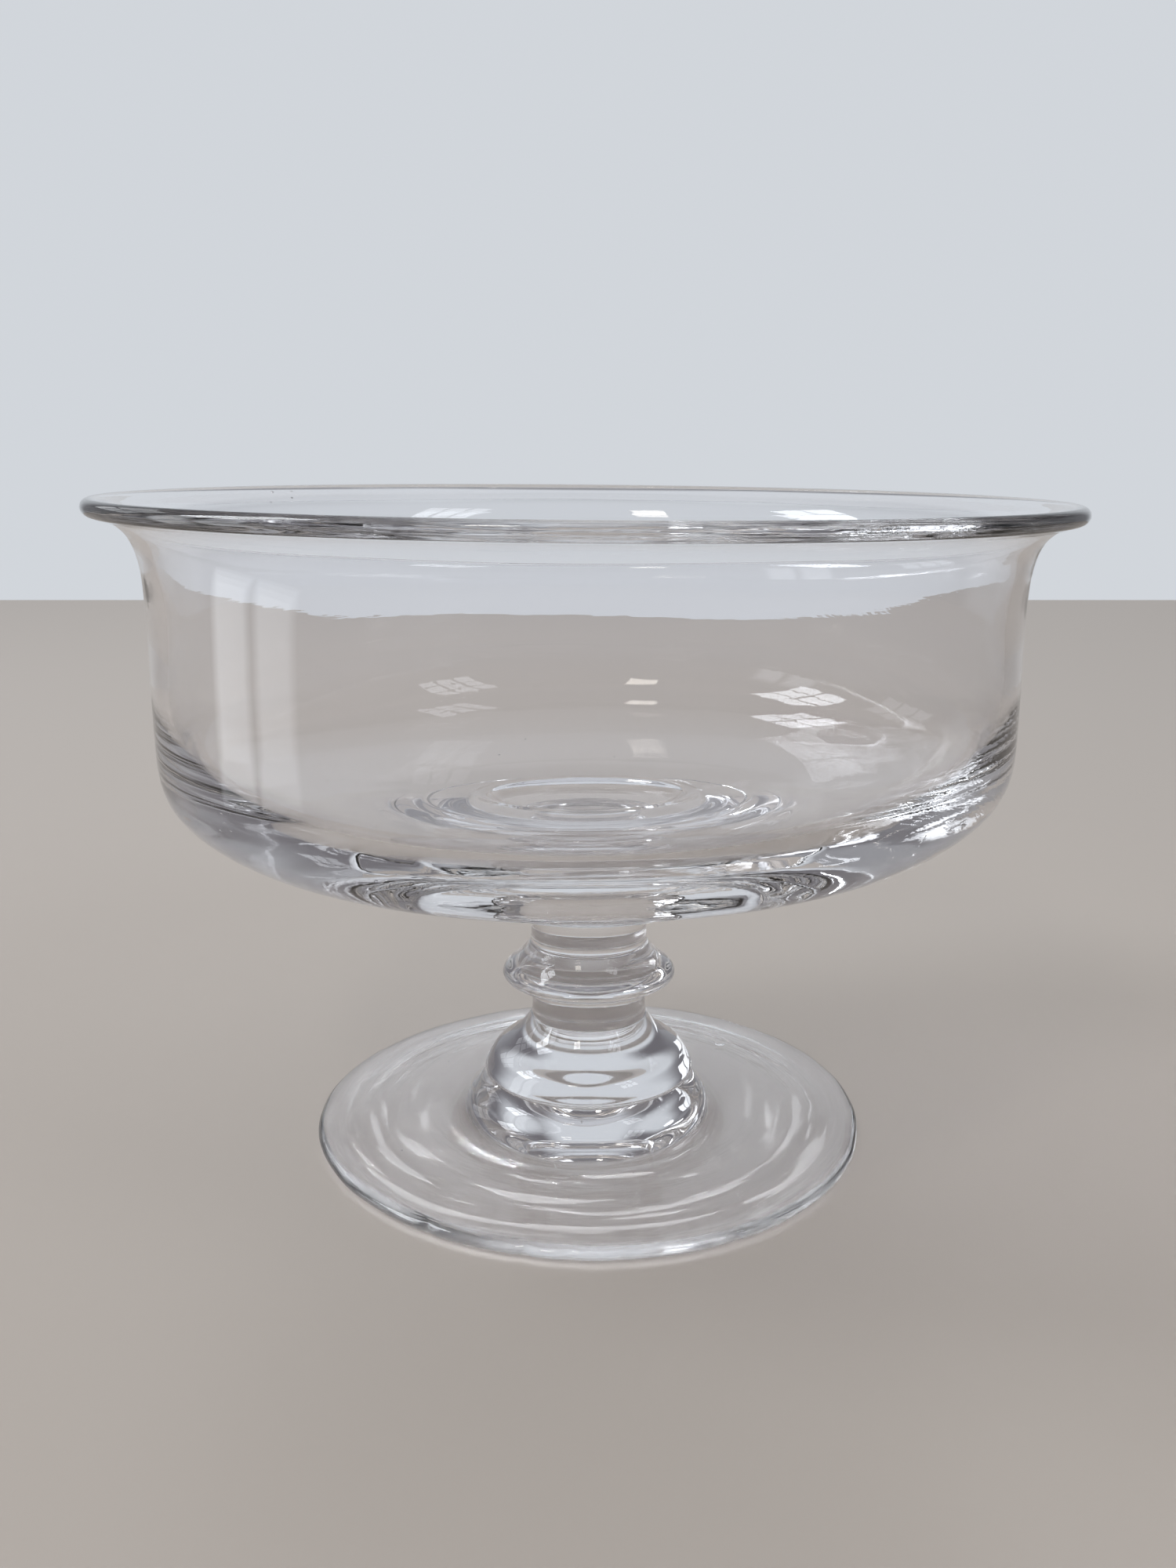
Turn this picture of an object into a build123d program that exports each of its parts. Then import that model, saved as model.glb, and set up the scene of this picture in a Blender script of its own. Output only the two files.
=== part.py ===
from build123d import *
import os

# A hand-blown glass bowl on a short stem and a wide disc foot. Millimetres, +Z up along the axis
# that the glass was turned about. The origin is the middle of the foot, on the surface that it
# stands on. Each piece was its own gather of hot glass, and the pieces meet face to face at the
# heights where they were fused.

# Bowl, outside
RIM_R = 60.0  # outermost radius of the turned-out lip
RIM_Z = 83.1  # height of the lip's outermost circle
LIP_EDGE_R = 1.0  # the lip's edge is a half round of this radius
SIDE_R = 53.7  # the side is nearly straight, and opens a little towards the lip
SIDE_LOW_Z = 56.0
SIDE_HIGH_Z = 66.5
CORNER_R = 48.2  # where the heavy base turns up into the side
CORNER_Z = 45.0
BASE_R = 43.2  # the underside is a shallow cone from the wafer out to here
BASE_Z = 42.6

# Bowl, inside
SIDE_WALL = 2.1  # even up to the lip, and much thicker in the base
FLOOR_R = 41.6
FLOOR_Z = 47.8
PIT_R = 13.3  # shallow pit with a crisp, slightly raised edge in the middle of the floor
PIT_RIM_Z = 43.75
PIT_FLOOR_R = 8.4
PIT_FLOOR_Z = 41.65

# Stem: heights of the fused joints, then the radii there
PAD_TOP = 36.1
UPPER_NECK_TOP = 32.6
COLLAR_TOP = 25.6
LOWER_NECK_TOP = 20.2
KNOP_TOP = 15.4
FOOT_TOP = 6.9
PAD_TOP_R = 22.0
UPPER_NECK_TOP_R = 9.2
COLLAR_TOP_R = 7.9
LOWER_NECK_TOP_R = 7.85
KNOP_TOP_R = 7.75
FOOT_TOP_R = 12.4

PAD_R = 17.3  # the wafer's rolled edge, from which it flares up into the bowl
COLLAR_R = 11.6
COLLAR_Z = 21.2  # height of the collar's widest circle
WAIST_R = 7.65
KNOP_R = 14.15
KNOP_LIP_Z = 7.4  # underside of the bell's thin lip

# Foot
FOOT_R = 37.0
FOOT_EDGE = 1.4  # thickness of the disc at its edge
FOOT_EDGE_ROUND = 0.6
BOSS_R = 15.2  # raised centre under the bell
BOSS_Z = 4.9
DISC_R = 22.0  # the boss has run out into the disc here
DISC_Z = 2.4
REST_OUTER_R = 35.0  # flat ring, worn by use, that the foot stands on
REST_INNER_R = 33.4
HOLLOW = 1.0  # how far the underside rises inside that ring
PONTIL_R = 6.0  # scar where the glass was broken off its rod
PONTIL_DEPTH = 0.5

os.makedirs("parts", exist_ok=True)


def finish(piece, name):
    """Labels a finished piece and writes it."""
    piece.part.label = name
    export_step(piece.part, f"parts/{name}.step")


# Bowl: a straight side on a thick rounded base, with the lip turned out at the top.
with BuildPart() as bowl:
    with BuildSketch(Plane.XZ):
        with BuildLine():
            Line((0, PAD_TOP), (PAD_TOP_R, PAD_TOP))
            outside = Spline(
                (PAD_TOP_R, PAD_TOP),
                (26.0, PAD_TOP + 1.65),
                (31.0, PAD_TOP + 3.2),
                (BASE_R, BASE_Z),
                (CORNER_R, CORNER_Z),
                (SIDE_R - 1.0, CORNER_Z + 4.7),
                (SIDE_R, SIDE_LOW_Z),
                (SIDE_R, SIDE_HIGH_Z),
                (SIDE_R + 0.6, RIM_Z - 5.8),
                (SIDE_R + 2.2, RIM_Z - 2.5),
                (RIM_R - LIP_EDGE_R, RIM_Z - LIP_EDGE_R),
                tangents=[(1, 0.4), (1, 0.12)],
            )
            lip = ThreePointArc(
                outside @ 1,
                (RIM_R, RIM_Z),
                (RIM_R - LIP_EDGE_R, RIM_Z + LIP_EDGE_R),
            )
            inside = Spline(
                lip @ 1,
                (RIM_R - 3.3, RIM_Z + 0.4),
                (SIDE_R + 0.8, RIM_Z - 0.95),
                (SIDE_R - 0.8, RIM_Z - 3.3),
                (SIDE_R - 1.45, RIM_Z - 5.4),
                (SIDE_R - SIDE_WALL + 0.1, RIM_Z - 9.6),
                (SIDE_R - SIDE_WALL, SIDE_HIGH_Z),
                (SIDE_R - SIDE_WALL - 0.2, SIDE_LOW_Z + 1.0),
                (SIDE_R - SIDE_WALL - 2.7, FLOOR_Z + 3.4),
                (FLOOR_R, FLOOR_Z),
                tangents=[(-1, -0.06), (-1, -0.27)],
            )
            floor = TangentArc(inside @ 1, (PIT_R + 1.9, PIT_RIM_Z - 0.1), tangent=inside % 1)
            pit = Spline(
                floor @ 1,
                (PIT_R + 0.8, PIT_RIM_Z + 0.1),
                (PIT_R, PIT_RIM_Z),
                (PIT_R - 0.6, PIT_RIM_Z - 0.65),
                (PIT_R - 2.1, PIT_RIM_Z - 1.65),
                (PIT_FLOOR_R + 1.3, PIT_FLOOR_Z + 0.1),
                (PIT_FLOOR_R, PIT_FLOOR_Z),
                tangents=[floor % 1, (-1, 0)],
            )
            Line(pit @ 1, (0, PIT_FLOOR_Z))
            Line((0, PIT_FLOOR_Z), (0, PAD_TOP))
        make_face()
    revolve(axis=Axis.Z)
finish(bowl, "bowl")

# Wafer of glass under the bowl, flaring up into its base.
with BuildPart() as bowl_pad:
    with BuildSketch(Plane.XZ):
        with BuildLine():
            Line((0, PAD_TOP), (0, UPPER_NECK_TOP))
            Line((0, UPPER_NECK_TOP), (UPPER_NECK_TOP_R, UPPER_NECK_TOP))
            Spline(
                (UPPER_NECK_TOP_R, UPPER_NECK_TOP),
                (PAD_R - 2.5, UPPER_NECK_TOP + 0.05),
                (PAD_R - 0.8, UPPER_NECK_TOP + 0.3),
                (PAD_R + 0.1, UPPER_NECK_TOP + 0.9),
                (PAD_R + 1.7, UPPER_NECK_TOP + 2.0),
                (PAD_TOP_R, PAD_TOP),
                tangents=[(1, 0), (1, 0.4)],
            )
            Line((PAD_TOP_R, PAD_TOP), (0, PAD_TOP))
        make_face()
    revolve(axis=Axis.Z)
finish(bowl_pad, "bowl_pad")

# Neck between the wafer and the collar, flaring at its top.
with BuildPart() as upper_neck:
    with BuildSketch(Plane.XZ):
        with BuildLine():
            Line((0, UPPER_NECK_TOP), (0, COLLAR_TOP))
            Line((0, COLLAR_TOP), (COLLAR_TOP_R, COLLAR_TOP))
            Spline(
                (COLLAR_TOP_R, COLLAR_TOP),
                (WAIST_R + 0.1, COLLAR_TOP + 1.4),
                (WAIST_R + 0.5, UPPER_NECK_TOP - 2.2),
                (UPPER_NECK_TOP_R, UPPER_NECK_TOP),
                tangents=[(-0.2, 1), (1, 1)],
            )
            Line((UPPER_NECK_TOP_R, UPPER_NECK_TOP), (0, UPPER_NECK_TOP))
        make_face()
    revolve(axis=Axis.Z)
finish(upper_neck, "upper_neck")

# Collar: a ring with a rounded shoulder and a drooping edge.
with BuildPart() as collar:
    with BuildSketch(Plane.XZ):
        with BuildLine():
            Line((0, COLLAR_TOP), (0, LOWER_NECK_TOP))
            Line((0, LOWER_NECK_TOP), (LOWER_NECK_TOP_R, LOWER_NECK_TOP))
            underside = Spline(
                (LOWER_NECK_TOP_R, LOWER_NECK_TOP),
                (COLLAR_R - 2.0, LOWER_NECK_TOP + 0.1),
                (COLLAR_R, COLLAR_Z),
                tangents=[(1, 0), (0, 1)],
            )
            Spline(
                underside @ 1,
                (COLLAR_R - 1.4, COLLAR_Z + 1.8),
                (COLLAR_TOP_R + 0.7, COLLAR_TOP - 1.0),
                (COLLAR_TOP_R, COLLAR_TOP),
                tangents=[(0, 1), (-0.3, 1)],
            )
            Line((COLLAR_TOP_R, COLLAR_TOP), (0, COLLAR_TOP))
        make_face()
    revolve(axis=Axis.Z)
finish(collar, "collar")

# Waist between the collar and the knop.
with BuildPart() as lower_neck:
    with BuildSketch(Plane.XZ):
        with BuildLine():
            Line((0, LOWER_NECK_TOP), (0, KNOP_TOP))
            Line((0, KNOP_TOP), (KNOP_TOP_R, KNOP_TOP))
            ThreePointArc(
                (KNOP_TOP_R, KNOP_TOP),
                (WAIST_R, (KNOP_TOP + LOWER_NECK_TOP) / 2),
                (LOWER_NECK_TOP_R, LOWER_NECK_TOP),
            )
            Line((LOWER_NECK_TOP_R, LOWER_NECK_TOP), (0, LOWER_NECK_TOP))
        make_face()
    revolve(axis=Axis.Z)
finish(lower_neck, "lower_neck")

# Bell-shaped knop, whose thin flared lip overhangs the foot's raised centre.
with BuildPart() as bell_knop:
    with BuildSketch(Plane.XZ):
        with BuildLine():
            Line((0, KNOP_TOP), (0, FOOT_TOP))
            Line((0, FOOT_TOP), (FOOT_TOP_R, FOOT_TOP))
            Line((FOOT_TOP_R, FOOT_TOP), (KNOP_R - 0.6, KNOP_LIP_Z))
            bell_lip = Spline(
                (KNOP_R - 0.6, KNOP_LIP_Z),
                (KNOP_R, KNOP_LIP_Z + 0.4),
                tangents=[(1, 0.2), (0, 1)],
            )
            Spline(
                bell_lip @ 1,
                (KNOP_R - 0.35, KNOP_LIP_Z + 1.3),
                (KNOP_R - 1.35, KNOP_LIP_Z + 2.9),
                (KNOP_TOP_R + 2.45, KNOP_TOP - 3.1),
                (KNOP_TOP_R + 0.95, KNOP_TOP - 1.4),
                (KNOP_TOP_R, KNOP_TOP),
                tangents=[(0, 1), (-0.35, 1)],
            )
            Line((KNOP_TOP_R, KNOP_TOP), (0, KNOP_TOP))
        make_face()
    revolve(axis=Axis.Z)
finish(bell_knop, "bell_knop")

# Foot: a thin disc with a rounded boss, standing on a flat worn ring and hollow inside that ring.
with BuildPart() as foot:
    with BuildSketch(Plane.XZ):
        with BuildLine():
            top = Spline(
                (FOOT_TOP_R, FOOT_TOP),
                (BOSS_R - 0.9, BOSS_Z + 1.2),
                (BOSS_R, BOSS_Z),
                (BOSS_R + 1.0, BOSS_Z - 1.2),
                (DISC_R - 3.4, DISC_Z + 0.45),
                (DISC_R, DISC_Z),
                (28.0, 2.05),
                (FOOT_R - FOOT_EDGE_ROUND, FOOT_EDGE),
                tangents=[(1, -0.1), (1, -0.12)],
            )
            edge = ThreePointArc(
                top @ 1,
                (FOOT_R, FOOT_EDGE / 2),
                (FOOT_R - FOOT_EDGE_ROUND, 0.12),
            )
            heel = Line(edge @ 1, (REST_OUTER_R, 0))
            rest = Line(heel @ 1, (REST_INNER_R, 0))
            hollow = Spline(
                rest @ 1,
                (24.0, HOLLOW * 0.6),
                (PONTIL_R, HOLLOW),
                tangents=[(-1, 0.08), (-1, 0.02)],
            )
            pontil = Spline(
                hollow @ 1,
                (0, HOLLOW + PONTIL_DEPTH),
                tangents=[(-1, 0.3), (-1, 0)],
            )
            Line(pontil @ 1, (0, FOOT_TOP))
            Line((0, FOOT_TOP), (FOOT_TOP_R, FOOT_TOP))
        make_face()
    revolve(axis=Axis.Z)
finish(foot, "foot")
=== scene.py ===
import math
import random

import bmesh
import bpy
import numpy as np
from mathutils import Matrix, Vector, noise


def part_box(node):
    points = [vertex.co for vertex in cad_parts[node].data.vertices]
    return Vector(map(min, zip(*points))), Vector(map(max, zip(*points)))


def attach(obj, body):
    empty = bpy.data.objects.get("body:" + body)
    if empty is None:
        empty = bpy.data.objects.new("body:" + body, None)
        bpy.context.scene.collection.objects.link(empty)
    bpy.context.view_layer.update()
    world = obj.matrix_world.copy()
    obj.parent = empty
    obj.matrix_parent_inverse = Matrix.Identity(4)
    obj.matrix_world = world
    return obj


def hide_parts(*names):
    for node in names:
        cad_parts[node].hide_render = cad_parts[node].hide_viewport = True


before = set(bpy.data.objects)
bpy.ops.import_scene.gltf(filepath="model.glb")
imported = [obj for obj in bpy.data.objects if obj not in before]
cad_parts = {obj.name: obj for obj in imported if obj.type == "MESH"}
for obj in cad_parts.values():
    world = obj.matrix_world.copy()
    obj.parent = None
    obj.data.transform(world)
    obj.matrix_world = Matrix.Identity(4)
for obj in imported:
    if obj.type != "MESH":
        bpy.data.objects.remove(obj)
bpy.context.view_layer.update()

# A hand-blown glass bowl on a foot. Each CAD node is replaced by a closed mesh of the same piece,
# turned from a smooth outline and then given the small faults of hand work. Outlines are in
# millimetres, and the meshes are made in metres.

MM = 0.001
GLASS_IOR = 1.52
GLASS_TINT = (0.974, 0.974, 0.986)  # a trace of violet, as old manganese glass has
STRIAE = 0.000004  # the depth of the striae
CREASE = (-0.0338, -0.0417, 0)  # where the fold in the bowl's wall runs up
BLISTER = (0.0199, 0.0189, 0.0022)  # on the disc of the foot

scene = bpy.context.scene

# ---------------------------------------------------------------- places, from the frame


def reach(node):
    """The node's outer radius, in mm."""
    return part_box(node)[1].x / MM


def base(node):
    """The height of the node's lowest face, in mm."""
    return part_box(node)[0].z / MM


def top(node):
    """The height of the node's highest face, in mm."""
    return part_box(node)[1].z / MM


# ---------------------------------------------------------------- outlines


def smooth_run(points, step):
    """Points about every step mm along the cubic spline through points."""
    p = np.array(points, float)
    gap = np.linalg.norm(np.diff(p, axis=0), axis=1) ** 0.75
    count = len(p)
    matrix = np.eye(count)
    right = np.zeros((count, 2))
    for i in range(1, count - 1):
        matrix[i, i - 1 : i + 2] = gap[i - 1], 2 * (gap[i - 1] + gap[i]), gap[i]
        right[i] = 6 * ((p[i + 1] - p[i]) / gap[i] - (p[i] - p[i - 1]) / gap[i - 1])
    bend = np.linalg.solve(matrix, right)
    spans = []
    for i in range(count - 1):
        parts = max(int(round(np.linalg.norm(p[i + 1] - p[i]) / step)), 2)
        after = np.linspace(0, 1, parts, endpoint=False)[:, None]
        before = 1 - after
        curve = (before**3 - before) * bend[i] + (after**3 - after) * bend[i + 1]
        spans.append(before * p[i] + after * p[i + 1] + gap[i] ** 2 / 6 * curve)
    return np.concatenate([*spans, p[-1:]])


def outline(*runs, step):
    """One line through several smooth runs, which meet at corners."""
    lines = [smooth_run(run, step) for run in runs]
    return np.concatenate([lines[0], *[line[1:] for line in lines[1:]]])


def bowl_outline():
    rim = reach("bowl")
    low = base("bowl")
    lip = 1.0  # the radius of the lip's edge
    lip_z = top("bowl") - lip
    side = 53.7  # the radius of the straight side
    outside = [
        (22.0, low),
        (26.0, low + 1.65),
        (31.0, low + 3.2),
        (43.2, low + 6.5),
        (48.2, lip_z - 38.1),
        (52.7, lip_z - 33.4),
        (side, lip_z - 27.1),
        (side, lip_z - 16.6),
        (side + 0.6, lip_z - 5.8),
        (side + 2.2, lip_z - 2.5),
        (rim - lip, lip_z - lip),
    ]
    turn = np.radians(np.linspace(-80, 80, 15))
    edge = np.stack([rim - lip + lip * np.cos(turn), lip_z + lip * np.sin(turn)], axis=1)
    inside = [
        (rim - lip, lip_z + lip),
        (rim - 3.3, lip_z + 0.4),
        (side + 0.8, lip_z - 0.95),
        (side - 0.8, lip_z - 3.3),
        (side - 1.45, lip_z - 5.4),
        (side - 2.0, lip_z - 9.6),
        (side - 2.1, lip_z - 16.6),
        (side - 2.3, lip_z - 26.1),
        (side - 4.8, lip_z - 31.9),
        (41.6, lip_z - 35.3),
        (28.0, lip_z - 38.1),
        (15.2, lip_z - 39.45),
    ]
    pit = [
        (15.2, lip_z - 39.45),
        (14.1, lip_z - 39.25),
        (13.3, lip_z - 39.35),
        (12.7, lip_z - 40.0),
        (11.2, lip_z - 41.0),
        (9.7, lip_z - 41.35),
        (8.4, lip_z - 41.45),
    ]
    pit_floor = [(8.4, lip_z - 41.45), (0.0, lip_z - 41.45)]
    middle = outline(pit, pit_floor, step=0.35)
    return np.concatenate([smooth_run(outside, 0.8), edge, smooth_run(inside, 0.8), middle[1:]])


def pad_outline():
    low = base("bowl_pad")
    return outline(
        [
            (9.2, low),
            (14.8, low + 0.05),
            (16.5, low + 0.3),
            (17.4, low + 0.9),
            (19.0, low + 2.0),
            (22.0, top("bowl_pad")),
        ],
        step=0.4,
    )


def upper_neck_outline():
    low = base("upper_neck")
    high = top("upper_neck")
    return outline([(7.9, low), (7.75, low + 1.4), (8.15, high - 2.2), (9.2, high)], step=0.35)


def collar_outline():
    low = base("collar")
    high = top("collar")
    r = reach("collar")
    return outline(
        [
            (7.85, low),
            (r - 2.0, low + 0.15),
            (r - 0.5, low + 0.5),
            (r, low + 1.15),
            (r - 0.35, low + 1.9),
            (r - 1.4, low + 2.8),
            (8.6, high - 1.0),
            (7.9, high),
        ],
        step=0.25,
    )


def lower_neck_outline():
    low = base("lower_neck")
    high = top("lower_neck")
    return outline([(7.75, low), (7.65, (low + high) / 2), (7.85, high)], step=0.35)


def knop_outline():
    low = base("bell_knop")
    high = top("bell_knop")
    r = reach("bell_knop")
    return outline(
        [(12.4, low), (r - 0.6, low + 0.5)],
        [
            (r - 0.6, low + 0.5),
            (r - 0.15, low + 0.6),
            (r, low + 0.9),
            (r - 0.35, low + 1.8),
            (12.8, low + 3.4),
            (10.2, high - 3.1),
            (8.7, high - 1.4),
            (7.75, high),
        ],
        step=0.25,
    )


def foot_outline():
    r = reach("foot")
    return outline(
        [(0.0, 1.5), (2.5, 1.4), (6.0, 1.0), (24.0, 0.6), (33.4, 0.0)],
        [(33.4, 0.0), (35.0, 0.0)],
        [
            (35.0, 0.0),
            (r - 0.6, 0.12),
            (r - 0.12, 0.4),
            (r, 0.7),
            (r - 0.12, 1.05),
            (r - 0.6, 1.4),
            (28.0, 2.05),
            (22.0, 2.4),
            (18.6, 2.85),
            (16.2, 3.7),
            (15.2, 4.9),
            (14.3, 6.1),
            (12.4, top("foot")),
        ],
        step=0.5,
    )


# ---------------------------------------------------------------- hand work


def ease(value, start, stop):
    """0 before start, 1 after stop, and smooth between."""
    t = np.clip((value - start) / (stop - start), 0, 1)
    return t * t * (3 - 2 * t)


def wander(co, around, across, along):
    """Smooth noise from -1 to 1 that has no seam around the axis.

    A larger around, across or along makes it change faster around the axis, away from it or up it."""
    x, y, z = co.T
    r = np.maximum(np.hypot(x, y), 1e-6)
    spots = np.stack([x / r * around, y / r * around, r * across + z * along], axis=1)
    return np.array([noise.noise(Vector(spot)) for spot in spots])


# The waves that put the foot out of round: how many round the edge, size in mm, azimuth of a crest.
FOOT_WAVES = ((1, 0.5, 0), (2, 0.2, 75), (3, 0.3, 51))
# Nicks in the foot's edge: azimuth in degrees, depth in mm.
NICKS = ((-101, 0.30), (-93, 0.22), (-84, 0.16), (-121, 0.25), (-62, 0.2))
NICK_WIDTH = 0.018  # in radians


def worked_by_hand(co):
    """Moves points, in mm, by the faults of hand work. Points near the joints all move together."""
    x, y, z = co.T
    r = np.hypot(x, y)
    azimuth = np.arctan2(y, x)
    lean = 0.009 * ease(z, 30, 47) - 0.018 * ease(z, 47, 83)
    drift = -0.35 * ease(z, 30, 50) - 0.3 * (1 - ease(z, 2, 9))
    on_disc = ease(r, 22, 37) * (1 - ease(z, 5, 9))
    out = 0 * r
    for count, size, crest in FOOT_WAVES:
        out += on_disc * size * np.cos(count * (azimuth - np.radians(crest)))
    out += on_disc * 0.12 * wander(co, 6, 0.1, 0)
    for degrees, depth in NICKS:
        apart = np.angle(np.exp(1j * (azimuth - np.radians(degrees))))
        out -= depth * np.exp(-((apart / NICK_WIDTH) ** 2)) * ease(r, 36, 37) * (z < 5)
    in_bowl = ease(r, 22, 30) * ease(z, 37, 40)
    out += in_bowl * (0.01 + 0.015 * ease(z, 46, 52)) * wander(co, 3, 0.5, 0.05)
    disc_top = ease(r, 20, 24) * ease(z, 1.1, 1.4) * (1 - ease(z, 5, 9))
    up = disc_top * 0.05 * wander(co, 1.8, 0.45, 0)
    up += disc_top * 0.03 * wander(co, 5, 0.12, 0)
    moved_x = x + drift + out * np.cos(azimuth)
    moved_y = y + out * np.sin(azimuth)
    moved_z = z + lean * x + up
    return np.stack([moved_x, moved_y, moved_z], axis=1)


# ---------------------------------------------------------------- meshes


def seeds_in(node):
    """Places and radii, in mm, of the small bubbles that the glass was blown with."""
    placed = {
        "bowl": [(-38.6, -34.2, 50.3, 0.16), (-46.3, 32.0, 83.2, 0.22), (-44.5, 36.0, 82.6, 0.16)],
        "foot": [(-0.7, -13.2, 5.2, 0.15), (-24.0, -14.0, 1.2, 0.14)],
    }
    scattered = {"bowl": (26, 24.0, 44.0, 43.4), "foot": (9, 20.0, 33.0, 1.3)}
    found = list(placed.get(node, []))
    if node in scattered:
        count, near, far, height = scattered[node]
        chance = random.Random(node)
        for _ in range(count):
            r = chance.uniform(near, far)
            azimuth = chance.uniform(0, 2 * math.pi)
            rise = chance.uniform(-0.2, 0.2) + (0.10 * (r - near) if node == "bowl" else 0)
            size = 0.06 + 0.14 * chance.random() ** 3
            found.append((r * math.cos(azimuth), r * math.sin(azimuth), height + rise, size))
    return found


def seed_shape():
    """A unit ball whose faces look inwards, since a seed is a hollow."""
    ball = bmesh.new()
    bmesh.ops.create_icosphere(ball, subdivisions=2, radius=1)
    ball.verts.ensure_lookup_table()
    co = np.array([v.co for v in ball.verts])
    faces = [[v.index for v in reversed(f.verts)] for f in ball.faces]
    ball.free()
    return co, faces


def turned(name, line, segments, seeds):
    """A closed mesh made by turning line about the axis. Its flat joint faces get slot 1."""
    starts_on_axis = line[0, 0] < 1e-6
    ends_on_axis = line[-1, 0] < 1e-6
    rings = line[int(starts_on_axis) : len(line) - int(ends_on_axis)]
    turn = np.arange(segments) * 2 * np.pi / segments
    x = np.outer(rings[:, 0], np.cos(turn))
    y = np.outer(rings[:, 0], np.sin(turn))
    z = np.repeat(rings[:, 1:], segments, axis=1)
    co = np.stack([x, y, z], axis=2).reshape(-1, 3)
    ids = np.arange(len(co)).reshape(-1, segments)
    beside = np.roll(ids, -1, axis=1)
    faces = np.stack([ids[:-1], beside[:-1], beside[1:], ids[1:]], axis=2).reshape(-1, 4).tolist()
    slots = [0] * len(faces)
    centres = np.array([(0, 0, line[0, 1]), (0, 0, line[-1, 1])])
    for ring, centre, on_axis in (
        (ids[0][::-1], len(co), starts_on_axis),
        (ids[-1], len(co) + 1, ends_on_axis),
    ):
        faces += [[a, b, centre] for a, b in zip(ring.tolist(), np.roll(ring, -1).tolist())]
        slots += [0 if on_axis else 1] * segments
    co = np.concatenate([co, centres])
    ball, ball_faces = seed_shape()
    for x, y, z, size in seeds:
        faces += [[i + len(co) for i in face] for face in ball_faces]
        slots += [0] * len(ball_faces)
        co = np.concatenate([co, (x, y, z) + ball * size])
    mesh = bpy.data.meshes.new(name)
    mesh.from_pydata((worked_by_hand(co) * MM).tolist(), [], faces)
    mesh.polygons.foreach_set("material_index", slots)
    mesh.polygons.foreach_set("use_smooth", [slot == 0 for slot in slots])
    mesh.update()
    return bpy.data.objects.new(name, mesh)


# ---------------------------------------------------------------- materials


def add(tree, kind, inputs, **settings):
    """Adds a shader node. An input given a socket is linked to it, and any other value is set."""
    node = tree.nodes.new("ShaderNode" + kind)
    for key, value in settings.items():
        setattr(node, key, value)
    for key, value in inputs.items():
        if isinstance(value, bpy.types.NodeSocket):
            tree.links.new(value, node.inputs[key])
        else:
            node.inputs[key].default_value = value
    return node


def new_material(name, colour, roughness):
    mat = bpy.data.materials.new(name)
    mat.use_nodes = True
    shader = mat.node_tree.nodes["Principled BSDF"]
    shader.inputs["Base Color"].default_value = (*colour, 1)
    shader.inputs["Roughness"].default_value = roughness
    return mat, mat.node_tree, shader


def object_place(tree):
    """The shaded point's place in the piece's own space, in metres."""
    return add(tree, "TexCoord", {}).outputs["Object"]


def height_of(tree, place):
    return add(tree, "SeparateXYZ", {0: place}).outputs["Z"]


def flattened(tree, place):
    return add(tree, "VectorMath", {0: place, 1: (1, 1, 0)}, operation="MULTIPLY").outputs[0]


def from_axis(tree, place):
    """The distance of place from the axis."""
    return add(tree, "VectorMath", {0: flattened(tree, place)}, operation="LENGTH").outputs["Value"]


def product(tree, a, b):
    return add(tree, "Math", {0: a, 1: b}, operation="MULTIPLY").outputs[0]


def largest(tree, first, *others):
    for other in others:
        first = add(tree, "Math", {0: first, 1: other}, operation="MAXIMUM").outputs[0]
    return first


def band(tree, value, dark, light, most=1.0):
    """0 at dark and most at light, and smooth between."""
    inputs = {"Value": value, "From Min": dark, "From Max": light, "To Max": most}
    return add(tree, "MapRange", inputs, interpolation_type="SMOOTHSTEP").outputs["Result"]


def bump(tree, height, depth, before=None):
    """A normal bent by height, which is added to the bump before it."""
    inputs = {"Height": height, "Distance": depth}
    if before:
        inputs["Normal"] = before
    return add(tree, "Bump", inputs).outputs[0]


def ring_space(tree, around, across, along):
    """Texture space for wander's kind of noise: x and y go around the axis, and z away from it and up."""
    place = object_place(tree)
    way = add(tree, "VectorMath", {0: flattened(tree, place)}, operation="NORMALIZE").outputs[0]
    circled = add(tree, "VectorMath", {0: way, "Scale": around}, operation="SCALE").outputs[0]
    risen = product(tree, height_of(tree, place), along)
    steps = {0: from_axis(tree, place), 1: across, 2: risen}
    height = add(tree, "Math", steps, operation="MULTIPLY_ADD").outputs[0]
    column = add(tree, "CombineXYZ", {"Z": height}).outputs[0]
    return add(tree, "VectorMath", {0: circled, 1: column}, operation="ADD").outputs[0]


def disc_streaks(tree):
    """Fine rings left on the disc of the foot, and where they are."""
    place = object_place(tree)
    outer = band(tree, from_axis(tree, place), 0.019, 0.024)
    upper = band(tree, height_of(tree, place), 0.0011, 0.0014)
    rings = ring_space(tree, 1.8, 650, 0)
    streaks = add(tree, "TexNoise", {"Vector": rings, "Scale": 1.0, "Detail": 3.0}).outputs["Fac"]
    return streaks, product(tree, outer, upper)


def worn_foot(tree, scuffed):
    """Roughness of the foot: worn in streaks, dulled at the edge and ground where it stands."""
    place = object_place(tree)
    streaks, disc = disc_streaks(tree)
    worn = product(tree, band(tree, streaks, 0.54, 0.62, 0.25), disc)
    edge = band(tree, from_axis(tree, place), 0.0358, 0.0368, 0.07)
    ring = band(tree, height_of(tree, place), 0.0002, 0.0, 0.06)
    return largest(tree, scuffed, worn, edge, ring)


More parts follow.
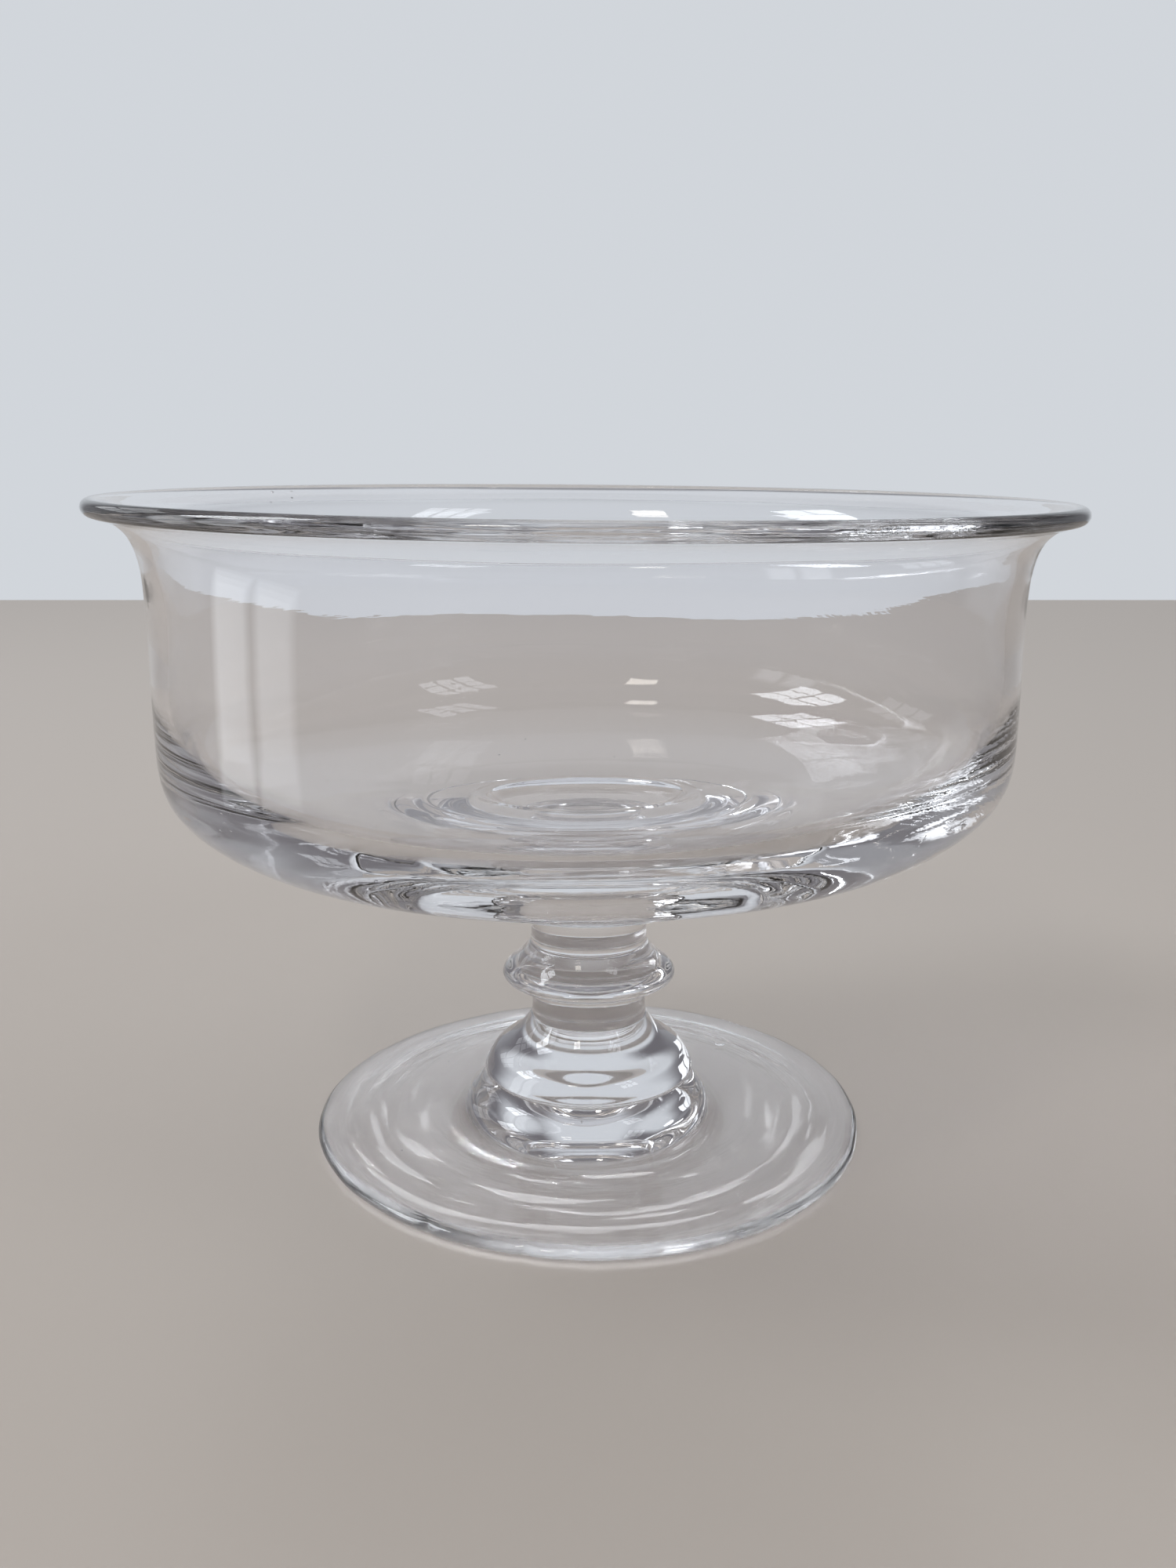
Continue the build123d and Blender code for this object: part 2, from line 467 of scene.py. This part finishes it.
def streaks_and_blister(tree, before):
    """The foot's own marks: fine rings on its disc, and a small blister."""
    centre = {0: object_place(tree), 1: BLISTER}
    apart = add(tree, "VectorMath", centre, operation="DISTANCE").outputs["Value"]
    blistered = bump(tree, band(tree, apart, 0.0009, 0.0), 0.0002, before)
    streaks, disc = disc_streaks(tree)
    return bump(tree, product(tree, streaks, disc), 0.0001, blistered)


def glass(name, striae, rolling_depth, wear, marks=None, dulling=None):
    """Clear old glass: striae that run around the axis, faint waviness, and scuffs that blur it.

    marks adds a piece's own bumps, and dulling its own roughness."""
    mat, tree, shader = new_material(name, GLASS_TINT, 0)
    shader.inputs["Transmission Weight"].default_value = 1
    shader.inputs["IOR"].default_value = GLASS_IOR
    place = object_place(tree)
    rings = ring_space(tree, *striae)
    drawn = add(tree, "TexNoise", {"Vector": rings, "Scale": 1.0, "Detail": 4.0, "Roughness": 0.6})
    rolling = add(tree, "TexNoise", {"Vector": place, "Scale": 140.0, "Detail": 1.0})
    bumps = bump(tree, drawn.outputs["Fac"], STRIAE)
    bumps = bump(tree, rolling.outputs["Fac"], rolling_depth, bumps)
    if marks:
        bumps = marks(tree, bumps)
    tree.links.new(bumps, shader.inputs["Normal"])
    scuffs = add(tree, "TexNoise", {"Vector": place, "Scale": 420.0, "Detail": 5.0, "Roughness": 0.7})
    limits = {"Value": scuffs.outputs["Fac"], "From Min": 0.5, "From Max": 0.8, "To Max": wear}
    rough = add(tree, "MapRange", limits).outputs["Result"]
    if dulling:
        rough = dulling(tree, rough)
    tree.links.new(rough, shader.inputs["Roughness"])
    return mat


def crease_and_drag(tree, before):
    """The bowl's own marks: a fold down its left wall, and slanting drag lines on its right."""
    place = object_place(tree)
    axes = add(tree, "SeparateXYZ", {0: place}).outputs
    sway = add(tree, "TexNoise", {"Vector": place, "Scale": 60.0, "Detail": 1.0}).outputs["Color"]
    nudge = {0: sway, 1: (0.003, 0.003, 0), 2: place}
    swayed = add(tree, "VectorMath", nudge, operation="MULTIPLY_ADD").outputs[0]
    crossing = {0: flattened(tree, swayed), 1: CREASE}
    apart = add(tree, "VectorMath", crossing, operation="DISTANCE").outputs["Value"]
    wall = product(tree, band(tree, axes["Z"], 0.048, 0.056), band(tree, axes["Z"], 0.079, 0.072))
    fold = product(tree, band(tree, apart, 0.0011, 0.0), wall)
    slant = {"Vector": place, "Angle": math.radians(55)}
    slanted = add(tree, "VectorRotate", slant, rotation_type="Y_AXIS").outputs[0]
    fine = {0: slanted, 1: (800, 70, 70)}
    stretched = add(tree, "VectorMath", fine, operation="MULTIPLY").outputs[0]
    drag = add(tree, "TexNoise", {"Vector": stretched, "Scale": 1.0, "Detail": 3.0}).outputs["Fac"]
    low = product(tree, band(tree, axes["Z"], 0.044, 0.048), band(tree, axes["Z"], 0.070, 0.058))
    right = band(tree, axes["X"], 0.026, 0.042)
    dragged = product(tree, drag, product(tree, right, low))
    return bump(tree, dragged, 0.00002, bump(tree, fold, 0.00012, before))


def fused(name):
    """Where two pieces are fused there is no surface: light passes straight on."""
    mat, _, shader = new_material(name, (1, 1, 1), 1)
    shader.inputs["Alpha"].default_value = 0
    return mat


# ---------------------------------------------------------------- pieces

GLASSES = {
    "bowl_glass": glass("bowl_glass", (1.6, 250, 380), 0.00001, 0.03, crease_and_drag),
    "stem_glass": glass("stem_glass", (1.2, 300, 500), 0.00002, 0.02),
    "foot_glass": glass(
        "foot_glass", (1.6, 400, 400), 0.00002, 0.03, streaks_and_blister, worn_foot
    ),
}
joint = fused("fused_joint")
PIECES = {
    "bowl": (bowl_outline, 360, "bowl_glass"),
    "bowl_pad": (pad_outline, 240, "stem_glass"),
    "upper_neck": (upper_neck_outline, 240, "stem_glass"),
    "collar": (collar_outline, 240, "stem_glass"),
    "lower_neck": (lower_neck_outline, 240, "stem_glass"),
    "bell_knop": (knop_outline, 240, "stem_glass"),
    "foot": (foot_outline, 360, "foot_glass"),
}
pieces = {}
for node, (make_outline, segments, slot) in PIECES.items():
    piece = turned("glass_" + node, make_outline(), segments, seeds_in(node))
    scene.collection.objects.link(piece)
    piece.data.materials.append(GLASSES[slot])
    piece.data.materials.append(joint)
    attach(piece, "root")
    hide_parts(node)
    pieces[node] = piece


# ---------------------------------------------------------------- stage

FLOOR_GAP = 0.00003  # keeps the floor's face off the foot's flat ring
FLOOR_BACK = 0.68  # the floor ends in a straight edge behind, as a table does
FLOOR_REACH = 3.0
WALL = (0.64, 0.67, 0.71)
ROOM = (0.15, 0.145, 0.16)

floor_mesh = bpy.data.meshes.new("floor")
floor_mesh.from_pydata(
    [
        (-FLOOR_REACH, -FLOOR_REACH, -FLOOR_GAP),
        (FLOOR_REACH, -FLOOR_REACH, -FLOOR_GAP),
        (FLOOR_REACH, FLOOR_BACK, -FLOOR_GAP),
        (-FLOOR_REACH, FLOOR_BACK, -FLOOR_GAP),
    ],
    [],
    [(0, 1, 2, 3)],
)
floor_mesh.materials.append(new_material("pale_floor", (0.43, 0.39, 0.36), 0.4)[0])
floor = bpy.data.objects.new("floor", floor_mesh)
scene.collection.objects.link(floor)


def studio_world():
    """A pale wall behind the bowl, with a strip of it carried on overhead, in a darker room."""
    world = bpy.data.worlds.new("studio")
    world.use_nodes = True
    world.cycles_visibility.diffuse = False
    tree = world.node_tree
    way = add(tree, "SeparateXYZ", {0: add(tree, "TexCoord", {}).outputs["Generated"]}).outputs
    aside = add(tree, "Math", {0: way["X"]}, operation="ABSOLUTE").outputs[0]
    rear = band(tree, way["Y"], 0.0, 0.3)
    wall = product(tree, band(tree, aside, 0.66, 0.42), band(tree, way["Z"], 0.52, 0.28))
    strip = product(tree, band(tree, aside, 0.34, 0.16), band(tree, way["Z"], 0.97, 0.88))
    pale = product(tree, rear, largest(tree, wall, strip))
    around = band(tree, way["Z"], 0.30, 0.12, 0.30)
    ceiling = band(tree, way["Z"], 0.82, 0.94, 0.20)
    pale = largest(tree, pale, around, ceiling)
    colour = add(tree, "Mix", {"Factor": pale, "A": (*ROOM, 1), "B": (*WALL, 1)}, data_type="RGBA")
    tree.links.new(colour.outputs["Result"], tree.nodes["Background"].inputs["Color"])
    return world


scene.world = studio_world()


def soft_box(name, place, aim, size, brightness, colour=(1, 1, 1)):
    """An area light. Brightness is its radiance, so a larger box isn't a dimmer one."""
    data = bpy.data.lights.new(name, "AREA")
    data.shape = "RECTANGLE"
    data.size = size[0]
    data.size_y = size[1]
    data.energy = brightness * math.pi * size[0] * size[1]
    data.color = colour
    ob = bpy.data.objects.new(name, data)
    ob.location = place
    ob.rotation_euler = (Vector(aim) - Vector(place)).to_track_quat("-Z", "Y").to_euler()
    ob.visible_camera = False
    scene.collection.objects.link(ob)
    return ob


def window(name, place, aim, size, panes, bar, brightness):
    """Soft boxes side by side with glazing bars between, as in a window."""
    facing = (Vector(aim) - Vector(place)).to_track_quat("-Z", "Y")
    pane = [(size[i] - bar * (panes[i] - 1)) / panes[i] for i in (0, 1)]
    made = []
    for i in range(panes[0]):
        for j in range(panes[1]):
            x = (i - (panes[0] - 1) / 2) * (pane[0] + bar)
            y = (j - (panes[1] - 1) / 2) * (pane[1] + bar)
            at = Vector(place) + facing @ Vector((x, y, 0))
            ob = soft_box(f"{name}_{i}{j}", at, aim, pane, brightness, (0.92, 0.96, 1))
            ob.rotation_euler = facing.to_euler()
            made.append(ob)
    return made


middle = (0, 0, 0.045)
near = []
for i in range(4):  # one behind another and smaller, for soft edges
    inset = 0.005 * i
    place = (-0.21 - 0.002 * i, -0.045, 0.102)
    aim = (0, -0.045, 0.102)
    size = (0.105 - inset, 0.21 - 3 * inset)
    near += window(f"window_near_{i}", place, aim, size, (2, 1), 0.004 + inset, 0.5)
window("window_left", (-0.74, 0.02, 0.68), middle, (0.32, 0.44), (2, 3), 0.016, 9)
window("window_right", (0.48, -0.36, 0.62), middle, (0.24, 0.36), (3, 3), 0.015, 3.5)
back = window("window_back", (-0.82, 0.60, 0.475), middle, (0.45, 0.36), (3, 2), 0.02, 1.2)
soft_box("lamp", (-0.26, -0.58, 0.80), middle, (0.14, 0.16), 9, (1, 0.95, 0.85))
behind = soft_box("behind", (0, 0.75, 0.55), (0, 0, 0), (0.5, 0.22), 4.5, (0.95, 0.97, 1))
overhead = soft_box("overhead", (0, 0, 1.3), (0, 0, 0), (6, 6), 0.73, (1, 0.98, 0.95))

# The light overhead is for the floor alone, and passes the glass as if it weren't there. Two windows
# are for the glass alone, so they leave no patch on the floor. The light behind is for the foot alone.
floor_only = bpy.data.collections.new("floor_only")
floor_only.objects.link(floor)
overhead.light_linking.receiver_collection = floor_only
overhead.light_linking.blocker_collection = floor_only
glass_only = bpy.data.collections.new("glass_only")
for piece in pieces.values():
    glass_only.objects.link(piece)
for pane in near + back:
    pane.light_linking.receiver_collection = glass_only
for pane in near:
    pane.visible_transmission = False  # it is mirrored in the wall, and isn't seen through it
foot_only = bpy.data.collections.new("foot_only")
foot_only.objects.link(pieces["foot"])
behind.light_linking.receiver_collection = foot_only
behind.light_linking.blocker_collection = floor_only
behind.data.cycles.use_multiple_importance_sampling = False  # only worn glass catches it

# ---------------------------------------------------------------- camera

camera = bpy.data.objects.new("camera", bpy.data.cameras.new("camera"))
camera.data.lens = 32.434
camera.data.sensor_width = 36
camera.data.clip_start = 0.01
camera.data.clip_end = 30
camera.location = (-0.0001, -0.1805, 0.09006)
camera.rotation_euler = (math.radians(90 - 13.396), 0, 0)
scene.collection.objects.link(camera)
scene.camera = camera

# Light crosses many faces of clear glass on its way.
scene.cycles.max_bounces = 48
scene.cycles.transmission_bounces = 48
scene.cycles.transparent_max_bounces = 64
scene.cycles.glossy_bounces = 16
scene.cycles.diffuse_bounces = 4
scene.cycles.use_denoising = True
scene.view_settings.view_transform = "Standard"
